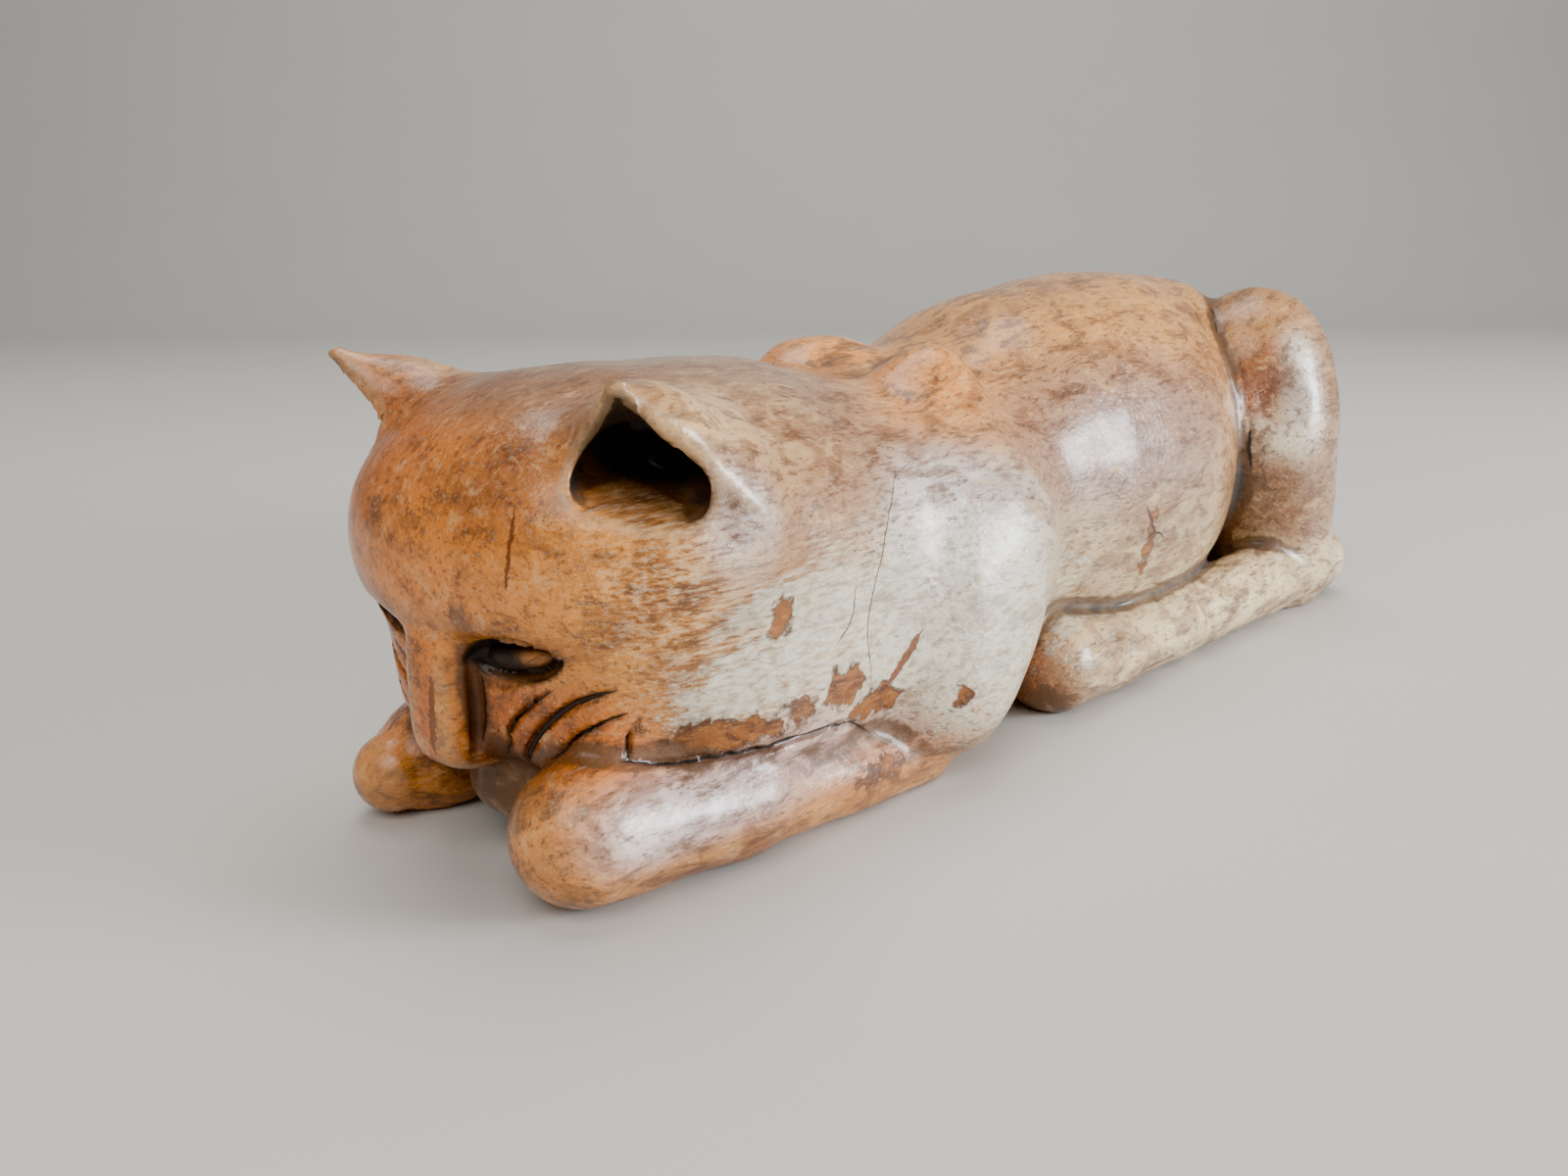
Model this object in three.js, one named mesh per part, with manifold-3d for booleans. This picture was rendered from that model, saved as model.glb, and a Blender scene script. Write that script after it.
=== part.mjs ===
// A carved wooden cat that lies with its head bowed between its forepaws. The cat looks
// along -Y, its left side is +X and it rests on the plane Z = 0. Every form is a rounded
// mass or a tapering limb of named size that is blended into its neighbours. The blended
// form is meshed on a grid, cut flat underneath and then carved with hollows and grooves.
import * as THREE from 'three';
import { mergeVertices } from 'three/addons/utils/BufferGeometryUtils.js';
import Module from 'manifold-3d';

// Driving dimensions, in millimetres.
const LENGTH = 260; // from the front of the forehead or paws to the back of the tail
const GROOVE_WIDTH = 1.0; // share by which every carved line is widened
const GRID_STEP = 6; // grid spacing over the body
const FINE_STEP = 4.4; // grid spacing over the face and the paws
const EAR_STEP = 3; // grid spacing over the ears and their hollows

// The sizes below are in millimetres on a cat about 257 long; the finished cat is brought to
// LENGTH. Rounded masses: centre, half sizes, and a power that squares them off as it grows.
const BELLY = { at: [0, 152.5, 37.8], half: [37.8, 59.5, 41], power: 2.2 };
const BACK = { at: [0, 183, 39.6], half: [25.6, 55.7, 40.4], power: 2.4 };
const CHEST = { at: [0, 80, 32.5], half: [37.4, 38, 33], power: 2.3 };
const SKULL = { at: [0, 24.8, 47.1], half: [36.9, 35, 24], power: 2.2 };
const BROW = { at: [0, 16.5, 36], half: [23.1, 19.9, 14.5], power: 1.9 };
const NAPE = { at: [0, 50.1, 39.7], half: [36.1, 33.9, 30.8], power: 2 };
const CHEEK = { at: [16.1, 37.2, 23], half: [19.7, 27.5, 17.8], power: 2.2 };
const CHEEKBONE = { at: [17.5, 15, 32], half: [13, 12.5, 9], power: 2 };
const WHISKER_PAD = { at: [13.8, 11, 23.2], half: [12, 11, 9.6], power: 2.5 };
const MUZZLE = { at: [0, 17.2, 27.2], half: [19.2, 20.6, 13.6], power: 2.3 };
const NOSE = { at: [0, 5.4, 27.2], half: [6.1, 14.2, 12.4], power: 4 };
const CHIN = { at: [0, 14.5, 10.8], half: [12, 13.2, 8.1], power: 2.4 };
const EYE_HOLLOW = { at: [14, -7.6, 32.6], half: [9.5, 5.2, 4.4], power: 2 };
const HAUNCH = { at: [22.6, 213.3, 53.9], half: [18.7, 20.8, 22.4], power: 2 };
const HAUNCH_DISH = { at: [42.5, 193, 54], half: [12, 9, 11], power: 2 };

// Tapering limbs: two end points and the radius at each.
const UPPER_ARM = { from: [26, 84, 38], to: [28, 74, 16], start: 11.5, end: 13.5 };
const THIGH = { from: [24.5, 212, 40], to: [24, 219, 10], start: 20, end: 19 };
const HIND_TOES = { from: [30, 112.5, 9], to: [32, 130, 7.5], start: 10.3, end: 7.8 };
const HIND_FOOT = { from: [32, 130, 7.5], to: [33.5, 231, 8.5], start: 7.8, end: 9.2 };
const EAR_ROOT = { from: [24, 17, 54], to: [27, 12, 62], start: 13, end: 8 };
const TAIL = [
  { from: [0, 228, 50], to: [-3, 238, 22], start: 7, end: 8 },
  { from: [-3, 238, 22], to: [-26, 240, 17], start: 8, end: 6.5 },
  { from: [-26, 240, 17], to: [-38, 216, 21], start: 6.5, end: 4.5 },
];

// The two sides differ a little, as a hand-carved figure's do.
const ELBOW = { at: [30, 68, 3.5], radius: 6 };
const SIDES = [
  {
    sign: 1,
    earTip: [31.7, 1.3, 70.2],
    wrist: { at: [27, 26, 8.3], radius: 8.8 },
    paw: { at: [22.6, 0.6, 10.2], radius: 10.6 },
    shoulder: { at: [15.5, 89, 52], half: [11.5, 13.5, 19], power: 2 },
  },
  {
    sign: -1,
    earTip: [32.1, 0.5, 71.4],
    wrist: { at: [24.5, 10, 7.5], radius: 9.7 },
    paw: { at: [24.5, 1.5, 6.8], radius: 6.9 },
    shoulder: { at: [9.6, 89.4, 52.8], half: [9.1, 17.5, 18.4], power: 2.6 },
  },
];

// The ear opening: a triangle between the ear's tip and these two corners on the head.
const EAR_INNER_CORNER = [20, 2.3, 58];
const EAR_OUTER_CORNER = [34, 19.5, 52.5];
const EAR_THICKNESS = 14.5; // radius of the ear's root
const EAR_TIP_RADIUS = 2;
const EAR_HOLLOW = 9; // radius of the hollow at its mouth
const EAR_HOLLOW_TIP = 1.3;
const EAR_HOLLOW_DEPTH = 8.5;
const EAR_BOX = { x: [4, 52], y: [-20, 40], z: [34, 80] };
const EAR_BACK = [-0.5, 0.86, -0.1]; // the way the hollow's floor runs into the head

// Carved lines on the left half, each a row of points close to the surface that is drawn
// onto it, with the width and the depth of the cut. The right half mirrors them.
const FACE_LINES = [
  { width: 3.0, depth: 1.5, path: [[6.5, -5, 32.4], [11, -6, 36.2], [16, -4.6, 37], [21.7, -1, 35.3]] },
  { width: 2.2, depth: 1.1, path: [[6.5, -5, 32.4], [10.6, -3.5, 30.3], [16, -1.6, 31], [21.7, -1, 35.3]] },
  { width: 2.6, depth: 1.5, path: [[6.6, -4.6, 33], [6.8, -4.4, 26], [6.5, -3.6, 17.4]] },
  { width: 1.5, depth: 1.1, path: [[18.6, 0, 30], [13.1, -1.3, 25.2], [10, -2, 18.4]] },
  { width: 1.9, depth: 1.3, path: [[27, 4.8, 31], [19, 1.3, 26.8], [13.1, 0.2, 20.2], [11.4, 0.4, 15.6]] },
  { width: 1.5, depth: 1.1, path: [[26.9, 6, 27.4], [23, 3.3, 24.7], [19.4, 2.2, 21.8]] },
];
const BODY_LINES = [
  { width: 2.4, depth: 1.2, path: [[25.6, 5.2, 20.2], [32.4, 22.8, 17], [34.9, 39.6, 17.4]] },
  { width: 2.4, depth: 1.4, path: [[27, 194, 62], [32, 193.5, 50], [33, 191, 38], [33, 186, 24]] },
];
const LINE_SEGMENTS = 4;
const LINE_SIDES = 4;

// How softly neighbouring forms run into one another, in millimetres.
const SOFT = { body: 20, limb: 8, face: 6, muzzle: 3, crease: 2.5, ear: 5, sharp: 1 };

const TINY = 1e-6;
const FILL = 0.02; // value given to a grid point inside a filled gap
const SURFACE_STEPS = 4;
const SLOPE_STEP = 0.05;
const STRAY = 0.3; // a vertex that ends further from the surface goes back to its cell's average
const CREASE = 1.6; // and so does one that had to move this far, as in a crease
const MARGIN = 3; // the grid reaches this far past the form

const along = (a, b, share) => a.map((value, i) => value + (b[i] - value) * share);
const plus = (a, b, share = 1) => a.map((value, i) => value + b[i] * share);
const minus = (a, b) => a.map((value, i) => value - b[i]);
const dot = (a, b) => a[0] * b[0] + a[1] * b[1] + a[2] * b[2];
const unit = (a) => a.map((value) => value / Math.hypot(...a));
const cross = (a, b) => [
  a[1] * b[2] - a[2] * b[1],
  a[2] * b[0] - a[0] * b[2],
  a[0] * b[1] - a[1] * b[0],
];

// Distance-like values: below zero inside a form, zero on its surface.
function mass(point, { at, half, power }) {
  const gap = point.map((value, i) => Math.abs(value - at[i]));
  const sum = gap.reduce((total, value, i) => total + (value / half[i]) ** power, 0);
  const reach = sum ** (1 / power) + TINY;
  const slopes = gap.map((value, i) => value ** (power - 1) / half[i] ** power);
  return (reach - 1) / (reach ** (1 - power) * Math.hypot(...slopes) + TINY);
}

function limb(point, { from, to, start, end }) {
  const axis = minus(to, from);
  const share = Math.min(1, Math.max(0, dot(minus(point, from), axis) / dot(axis, axis)));
  return Math.hypot(...minus(point, plus(from, axis, share))) - start - (end - start) * share;
}

function blend(a, b, soft) {
  const overlap = Math.max(soft - Math.abs(a - b), 0) / soft;
  return Math.min(a, b) - (overlap * overlap * soft) / 4;
}

const remove = (a, b, soft) => -blend(-a, b, soft);

// The triangle of an ear's opening: its middle, the way to the tip and the way out of it.
function earOpening(tip) {
  const middle = along(EAR_INNER_CORNER, EAR_OUTER_CORNER, 0.5);
  const up = unit(minus(tip, middle));
  const width = minus(EAR_OUTER_CORNER, EAR_INNER_CORNER);
  const out = unit(cross(width, minus(tip, EAR_INNER_CORNER)));
  return { middle, up, out, floor: unit(cross(width, EAR_BACK)) };
}

function earField(point, tip) {
  const { middle, up, out } = earOpening(tip);
  const root = plus(plus(middle, out, -6), up, -3);
  const point2 = plus(plus(tip, out, -2), up, -0.6);
  const horn = limb(point, { from: root, to: point2, start: EAR_THICKNESS, end: EAR_TIP_RADIUS });
  const whole = blend(horn, limb(point, EAR_ROOT), SOFT.face);
  return -blend(-whole, -dot(minus(point, tip), out), SOFT.sharp);
}

function earHollowField(point, tip) {
  const { middle, up, out, floor } = earOpening(tip);
  const mouth = limb(point, {
    from: plus(plus(middle, up, 3), out, 1),
    to: plus(plus(tip, up, -2.6), out, 0.2),
    start: EAR_HOLLOW,
    end: EAR_HOLLOW_TIP,
  });
  const pocket = limb(point, {
    from: plus(plus(middle, up, 1.5), out, -1),
    to: plus(plus(middle, up, 4.5), out, -EAR_HOLLOW_DEPTH),
    start: 8,
    end: 5,
  });
  const upward = floor[2] < 0 ? -1 : 1;
  const aboveFloor = upward * dot(minus(point, EAR_INNER_CORNER), floor);
  return -blend(-blend(mouth, pocket, SOFT.muzzle), aboveFloor, SOFT.crease);
}

function headField(point, mirrored) {
  let head = blend(mass(point, SKULL), mass(point, BROW), SOFT.face);
  head = blend(head, mass(point, NAPE), SOFT.limb);
  head = blend(head, mass(mirrored, CHEEK), SOFT.limb);
  head = blend(head, mass(mirrored, CHEEKBONE), SOFT.limb);
  head = blend(head, mass(mirrored, WHISKER_PAD), SOFT.face);
  head = blend(head, mass(point, MUZZLE), SOFT.muzzle);
  head = remove(head, mass(mirrored, EYE_HOLLOW), SOFT.muzzle);
  head = blend(head, mass(point, NOSE), SOFT.crease);
  return blend(head, mass(point, CHIN), SOFT.muzzle);
}

function hindLegField(mirrored) {
  let leg = blend(mass(mirrored, HAUNCH), limb(mirrored, THIGH), SOFT.limb);
  leg = remove(leg, mass(mirrored, HAUNCH_DISH), SOFT.muzzle);
  const foot = blend(limb(mirrored, HIND_TOES), limb(mirrored, HIND_FOOT), SOFT.crease);
  return blend(leg, foot, SOFT.crease);
}

function forearmField(point, { wrist, paw }) {
  const forearm = { from: ELBOW.at, to: wrist.at, start: ELBOW.radius, end: wrist.radius };
  const hand = { from: wrist.at, to: paw.at, start: wrist.radius, end: paw.radius };
  return blend(limb(point, forearm), limb(point, hand), SOFT.crease);
}

// Everything but the ears.
function bodyField(x, y, z) {
  const point = [x, y, z];
  const mirrored = [Math.abs(x), y, z];
  const sides = SIDES.map((side) => ({ side, own: [x * side.sign, y, z] }));
  let body = blend(mass(point, BELLY), mass(point, BACK), SOFT.limb);
  body = blend(body, mass(point, CHEST), SOFT.body);
  for (const { side, own } of sides) body = blend(body, mass(own, side.shoulder), SOFT.ear);
  body = blend(body, limb(mirrored, UPPER_ARM), SOFT.body);
  body = blend(body, headField(point, mirrored), SOFT.limb);
  for (const { side, own } of sides) body = blend(body, forearmField(own, side), SOFT.muzzle);
  body = blend(body, hindLegField(mirrored), SOFT.crease);
  const tail = TAIL.reduce((sum, part) => blend(sum, limb(point, part), SOFT.muzzle), 1e3);
  return blend(body, tail, SOFT.crease);
}

function slopeOf(field, [x, y, z]) {
  const h = SLOPE_STEP;
  return [
    (field(x + h, y, z) - field(x - h, y, z)) / (2 * h),
    (field(x, y + h, z) - field(x, y - h, z)) / (2 * h),
    (field(x, y, z + h) - field(x, y, z - h)) / (2 * h),
  ];
}

// Moves a point along the slope until it lies on the surface.
function ontoSurface(field, point) {
  let moved = point;
  for (let step = 0; step < SURFACE_STEPS; step += 1) {
    const slope = slopeOf(field, moved);
    moved = plus(moved, slope, -field(...moved) / (dot(slope, slope) + TINY));
  }
  return moved;
}

// Grid lines from one end to the other, closer together inside the listed bands.
function gridLines(from, to, bands = []) {
  const lines = [from];
  while (lines[lines.length - 1] < to) {
    const last = lines[lines.length - 1];
    const inBand = bands.some(([start, end]) => last >= start && last < end);
    lines.push(last + (inBand ? FINE_STEP : GRID_STEP));
  }
  return lines;
}

// Meshes the zero surface of a field: one vertex in every grid cell that the surface
// crosses, and one quad around every grid edge that it crosses.
function meshField(field, axes) {
  const counts = axes.map((axis) => axis.length);
  const index = (cell) => (cell[2] * counts[1] + cell[1]) * counts[0] + cell[0];
  const at = (cell) => cell.map((value, i) => axes[i][value]);
  const values = new Float64Array(counts[0] * counts[1] * counts[2]);
  const everyCell = function* cells() {
    for (let k = 0; k < counts[2] - 1; k += 1)
      for (let j = 0; j < counts[1] - 1; j += 1)
        for (let i = 0; i < counts[0] - 1; i += 1) yield [i, j, k];
  };
  for (let k = 0; k < counts[2]; k += 1)
    for (let j = 0; j < counts[1]; j += 1)
      for (let i = 0; i < counts[0]; i += 1) values[index([i, j, k])] = field(...at([i, j, k]));
  fillNarrowGaps(values, everyCell, index);

  const vertices = [];
  const vertexOf = new Map();
  for (const cell of everyCell()) {
    const crossings = cellCrossings(cell, values, index, at);
    if (crossings.length === 0) continue;
    const middle = crossings.reduce((sum, point) => plus(sum, point), [0, 0, 0]);
    const low = at(cell);
    const high = at(cell.map((value) => value + 1));
    const average = middle.map((value) => value / crossings.length);
    const placed = ontoSurface(field, average)
      .map((value, i) => Math.min(high[i], Math.max(low[i], value)));
    const strayed = Math.abs(field(...placed)) > STRAY || Math.hypot(...minus(placed, average)) > CREASE;
    vertexOf.set(index(cell), vertices.length);
    vertices.push(strayed ? average : placed);
  }

  const triangles = [];
  for (const cell of everyCell()) {
    for (let axis = 0; axis < 3; axis += 1) {
      if (cell.some((value, i) => i !== axis && value === 0)) continue;
      const next = cell.map((value, i) => value + (i === axis ? 1 : 0));
      const starts = values[index(cell)] < 0;
      if (starts === values[index(next)] < 0) continue;
      const ring = quadAround(cell, axis).map((corner) => vertexOf.get(index(corner)));
      triangles.push(...splitQuad(starts ? ring : ring.reverse(), vertices));
    }
  }
  return { vertices, triangles };
}

const CORNERS = [0, 1, 2, 3, 4, 5, 6, 7];
const FACES = [[0, 2, 6, 4], [1, 3, 7, 5], [0, 1, 5, 4], [2, 3, 7, 6], [0, 1, 3, 2], [4, 5, 7, 6]];

// Whether the corners of one kind hang together along the edges of their cell.
function linked(corners) {
  const found = corners.slice(0, 1);
  for (const corner of found) {
    for (const step of [1, 2, 4]) {
      const next = corner ^ step;
      if (corners.includes(next) && !found.includes(next)) found.push(next);
    }
  }
  return found.length === corners.length;
}

// A cell is simple when the surface passes through it as one sheet.
function isSimple(inside) {
  const crossed = FACES.some(([a, b, c, d]) => (
    inside[a] === inside[c] && inside[b] === inside[d] && inside[a] !== inside[b]));
  const of = (kind) => CORNERS.filter((corner) => inside[corner] === kind);
  return !crossed && linked(of(true)) && linked(of(false));
}

// Fills gaps that are narrower than a grid cell, so that the mesh never touches itself.
function fillNarrowGaps(values, everyCell, index) {
  let changed = true;
  while (changed) {
    changed = false;
    for (const cell of everyCell()) {
      const spots = CORNERS.map((corner) => index(cell.map((value, i) => value + ((corner >> i) & 1))));
      if (isSimple(spots.map((spot) => values[spot] < 0))) continue;
      const outside = spots.filter((spot) => values[spot] >= 0);
      values[outside.reduce((best, spot) => (values[spot] < values[best] ? spot : best))] = -FILL;
      changed = true;
    }
  }
}

// Where the surface crosses the twelve edges of one grid cell.
function cellCrossings(cell, values, index, at) {
  const crossings = [];
  for (let corner = 0; corner < 8; corner += 1) {
    const start = cell.map((value, i) => value + ((corner >> i) & 1));
    for (let axis = 0; axis < 3; axis += 1) {
      if ((corner >> axis) & 1) continue;
      const end = start.map((value, i) => value + (i === axis ? 1 : 0));
      const [a, b] = [values[index(start)], values[index(end)]];
      if (a < 0 !== b < 0) crossings.push(along(at(start), at(end), a / (a - b)));
    }
  }
  return crossings;
}

// The four cells around a grid edge, anticlockwise as seen from its far end.
function quadAround(cell, axis) {
  const [first, second] = [(axis + 1) % 3, (axis + 2) % 3];
  const back = (values) => cell.map((value, i) => value - (values.includes(i) ? 1 : 0));
  return [back([first, second]), back([second]), cell, back([first])];
}

function splitQuad([a, b, c, d], vertices) {
  const span = (p, q) => Math.hypot(...minus(vertices[p], vertices[q]));
  return span(a, c) <= span(b, d) ? [a, b, c, a, c, d] : [a, b, d, b, c, d];
}

// A tube that tapers at both ends and follows a carved line just under the surface.
function lineCutter(field, { path, width, depth }) {
  const curve = new THREE.CatmullRomCurve3(path.map((point) => new THREE.Vector3(...point)));
  const radius = (width * GROOVE_WIDTH) / 2;
  const vertices = [];
  const triangles = [];
  for (let ring = 0; ring <= LINE_SEGMENTS; ring += 1) {
    const share = ring / LINE_SEGMENTS;
    const middle = ontoSurface(field, curve.getPointAt(share).toArray());
    const normal = unit(slopeOf(field, middle));
    const side = unit(cross(curve.getTangentAt(share).toArray(), normal));
    const taper = 0.35 + 0.65 * Math.sin(Math.PI * share) ** 0.5;
    const centre = plus(middle, normal, radius - depth * taper);
    for (let spoke = 0; spoke < LINE_SIDES; spoke += 1) {
      const angle = (2 * Math.PI * spoke) / LINE_SIDES;
      const rim = plus(centre, normal, Math.cos(angle) * radius * taper);
      vertices.push(plus(rim, side, Math.sin(angle) * radius * taper));
    }
  }
  for (let ring = 0; ring < LINE_SEGMENTS; ring += 1)
    for (let spoke = 0; spoke < LINE_SIDES; spoke += 1) {
      const a = ring * LINE_SIDES + spoke;
      const b = ring * LINE_SIDES + ((spoke + 1) % LINE_SIDES);
      triangles.push(a, b, a + LINE_SIDES, b, b + LINE_SIDES, a + LINE_SIDES);
    }
  const last = LINE_SEGMENTS * LINE_SIDES;
  for (let spoke = 1; spoke < LINE_SIDES - 1; spoke += 1) {
    triangles.push(0, spoke + 1, spoke, last, last + spoke, last + spoke + 1);
  }
  return { vertices, triangles };
}

const wasm = await Module();
wasm.setup();

function solid({ vertices, triangles }) {
  const mesh = new wasm.Mesh({
    numProp: 3,
    vertProperties: new Float32Array(vertices.flat()),
    triVerts: new Uint32Array(triangles),
  });
  return new wasm.Manifold(mesh);
}

function solidOfGeometry(geometry) {
  const plain = geometry.clone();
  plain.deleteAttribute('normal');
  plain.deleteAttribute('uv');
  const merged = mergeVertices(plain);
  const flat = Array.from(merged.attributes.position.array);
  const vertices = [];
  for (let i = 0; i < flat.length; i += 3) vertices.push(flat.slice(i, i + 3));
  return solid({ vertices, triangles: Array.from(merged.index.array) });
}

function bodySolid() {
  const reach = [48, 252, 84];
  const axes = [
    gridLines(-reach[0] - MARGIN, reach[0] + MARGIN),
    gridLines(-15 - MARGIN, reach[1] + MARGIN, [[-15 - MARGIN, 22]]),
    gridLines(-4 * MARGIN, reach[2] + MARGIN),
  ];
  const footed = (x, y, z) => Math.max(bodyField(x, y, z), -MARGIN - z);
  return solid(meshField(footed, axes));
}

// Everything below the resting plane.
function groundSolid() {
  const size = [200, 600, 40];
  const ground = new THREE.BoxGeometry(...size);
  ground.translate(0, LENGTH / 2, -size[2] / 2);
  return solidOfGeometry(ground);
}

// An ear or its hollow, meshed inside a box around the ear.
function earSolid({ sign, earTip }, shape) {
  const field = (x, y, z) => shape([x * sign, y, z], earTip);
  const lines = (from, to) => {
    const count = Math.ceil((to - from) / EAR_STEP);
    return Array.from({ length: count + 1 }, (_, i) => from + (i * (to - from)) / count);
  };
  const [near, far] = sign > 0 ? EAR_BOX.x : EAR_BOX.x.map((value) => -value).reverse();
  return solid(meshField(field, [lines(near, far), lines(...EAR_BOX.y), lines(...EAR_BOX.z)]));
}

const mirrorLine = (line, sign) => ({
  ...line,
  path: line.path.map(([x, y, z]) => [x * sign, y, z]),
});

function carvedSolid() {
  let cat = bodySolid().subtract(groundSolid());
  for (const side of SIDES) {
    cat = cat.add(earSolid(side, earField)).subtract(earSolid(side, earHollowField));
    for (const line of [...FACE_LINES, ...BODY_LINES]) {
      cat = cat.subtract(solid(lineCutter(bodyField, mirrorLine(line, side.sign))));
    }
  }
  return cat;
}

function geometryOf(solidBody) {
  const { vertProperties, triVerts } = solidBody.getMesh();
  const geometry = new THREE.BufferGeometry();
  geometry.setAttribute('position', new THREE.BufferAttribute(vertProperties, 3));
  geometry.setIndex(new THREE.BufferAttribute(triVerts, 1));
  return geometry;
}

// The finished cat, at its real size, with the middle of its footprint at the origin.
function catGeometry() {
  const geometry = geometryOf(carvedSolid());
  geometry.computeBoundingBox();
  const { min, max } = geometry.boundingBox;
  geometry.translate(-(min.x + max.x) / 2, -(min.y + max.y) / 2, -min.z);
  const scale = LENGTH / (max.y - min.y);
  geometry.scale(scale, scale, scale);
  geometry.computeVertexNormals();
  return geometry;
}

const wood = new THREE.MeshStandardMaterial({ color: 0xb08457, roughness: 0.42, metalness: 0 });
const cat = new THREE.Mesh(catGeometry(), wood);
cat.name = 'carved_cat';

const figure = new THREE.Group();
figure.add(cat);

export default figure;
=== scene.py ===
"""A carved wooden cat with its fine carving, its cracks and its worn, waxed finish.

The cat looks along -Y, its left side is +X and it rests on Z = 0. Its forms are the same
named masses and limbs as the plain solid's, blended into one field and meshed finely. Sizes
are in millimetres on the drawn cat, and the finished mesh is brought to the real length.
"""
import math

import bmesh
import bpy
import numpy as np
from mathutils import Matrix, Vector


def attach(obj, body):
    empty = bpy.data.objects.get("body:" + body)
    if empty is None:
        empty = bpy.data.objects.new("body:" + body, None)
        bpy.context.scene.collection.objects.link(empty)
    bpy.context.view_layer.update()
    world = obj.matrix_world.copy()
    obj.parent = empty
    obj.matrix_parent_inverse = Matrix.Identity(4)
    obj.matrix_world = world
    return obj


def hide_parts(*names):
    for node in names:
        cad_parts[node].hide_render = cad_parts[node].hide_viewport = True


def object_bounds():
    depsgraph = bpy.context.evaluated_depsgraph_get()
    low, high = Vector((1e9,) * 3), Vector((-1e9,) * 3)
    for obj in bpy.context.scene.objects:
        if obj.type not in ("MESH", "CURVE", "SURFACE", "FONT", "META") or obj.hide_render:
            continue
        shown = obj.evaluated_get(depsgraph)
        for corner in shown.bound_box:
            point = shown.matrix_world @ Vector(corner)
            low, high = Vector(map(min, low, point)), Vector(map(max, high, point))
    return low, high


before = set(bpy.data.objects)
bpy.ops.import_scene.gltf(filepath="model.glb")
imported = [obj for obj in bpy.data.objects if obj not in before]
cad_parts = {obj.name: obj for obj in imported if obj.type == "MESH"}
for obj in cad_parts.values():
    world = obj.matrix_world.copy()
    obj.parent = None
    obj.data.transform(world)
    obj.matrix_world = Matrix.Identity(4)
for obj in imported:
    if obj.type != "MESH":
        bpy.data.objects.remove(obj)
solid_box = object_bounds()

MM = 0.001
LENGTH = 260.0
DRAWN_LENGTH = 256.6383
DRAWN_MIDDLE = np.array([0.0, 118.1957, 0.0])
SCALE = LENGTH / DRAWN_LENGTH

# Grid spacing, and the bands along X, Y and Z in which it is finer for the face.
FINE_STEP = 0.68
STEP = 1.27
FINE_BANDS = [[(3, 28)], [(-14, 36)], [(13, 38)]]
GRID_REACH = [(-49, 49), (-14, 251), (-1.5, 86)]
BLOCK = 4  # a coarser grid, with every fourth line, first finds where the surface is
NEAR = 9.0  # how close to it the field is worked out at every grid point

BELLY = ([0, 152.5, 37.8], [37.8, 59.5, 41], 2.2)
BACK = ([0, 183, 39.6], [25.6, 55.7, 40.4], 2.4)
CHEST = ([0, 80, 32.5], [37.4, 38, 33], 2.3)
SKULL = ([0, 24.8, 47.1], [36.9, 35, 24], 2.2)
BROW = ([0, 16.5, 36], [23.1, 19.9, 14.5], 1.9)
NAPE = ([0, 50.1, 39.7], [36.1, 33.9, 30.8], 2)
CHEEK = ([16.1, 37.2, 23], [19.7, 27.5, 17.8], 2.2)
CHEEKBONE = ([17.5, 15, 32], [13, 12.5, 9], 2)
WHISKER_PAD = ([13.8, 11, 23.2], [12, 11, 9.6], 2.5)
MUZZLE = ([0, 17.2, 27.2], [19.2, 20.6, 13.6], 2.3)
NOSE = ([0, 5.4, 27.2], [6.1, 14.2, 12.4], 4)
CHIN = ([0, 14.5, 10.8], [12, 13.2, 8.1], 2.4)
EYE_HOLLOW = ([14, -7.6, 32.6], [9.5, 5.2, 4.4], 2)
HAUNCH = ([22.6, 213.3, 53.9], [18.7, 20.8, 22.4], 2)
HAUNCH_DISH = ([42.5, 193, 54], [12, 9, 11], 2)

UPPER_ARM = ([26, 84, 38], [28, 74, 16], 11.5, 13.5)
THIGH = ([24.5, 212, 40], [24, 219, 10], 20, 19)
HIND_TOES = ([30, 112.5, 9], [32, 130, 7.5], 10.3, 7.8)
HIND_FOOT = ([32, 130, 7.5], [33.5, 231, 8.5], 7.8, 9.2)
EAR_ROOT = ([24, 17, 54], [27, 12, 62], 13, 8)
TAIL = [
    ([0, 228, 50], [-3, 238, 22], 7, 8),
    ([-3, 238, 22], [-26, 240, 17], 8, 6.5),
    ([-26, 240, 17], [-38, 216, 21], 6.5, 4.5),
]
ELBOW = ([30, 68, 3.5], 6)
SIDES = [
    {
        "sign": 1,
        "ear_tip": [31.7, 1.3, 70.2],
        "wrist": ([27, 26, 8.3], 8.8),
        "paw": ([22.6, 0.6, 10.2], 10.6),
        "shoulder": ([15.5, 89, 52], [11.5, 13.5, 19], 2),
    },
    {
        "sign": -1,
        "ear_tip": [32.1, 0.5, 71.4],
        "wrist": ([24.5, 10, 7.5], 9.7),
        "paw": ([24.5, 1.5, 6.8], 6.9),
        "shoulder": ([9.6, 89.4, 52.8], [9.1, 17.5, 18.4], 2.6),
    },
]
EAR_INNER_CORNER = np.array([20, 2.3, 58])
EAR_OUTER_CORNER = np.array([34, 19.5, 52.5])
EAR_BACK = [-0.5, 0.84, 0.2]
# Limbs of an ear in its own directions: up to the tip, out of the opening, in to the crown.
# A start counts from the middle between the corners and an end from the tip. Then both radii.
EAR_HORN = ([-3, -6, 0], [-0.6, -2, 0], 14.5, 2)
EAR_MOUTH = ([3, 1, 1.5], [-1.8, 0.3, 0], 8.5, 1.5)
EAR_POCKET = ([1.5, -1, 0], [4.5, -8.5, 0], 8, 5)  # both ends of this one from the middle

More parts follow.
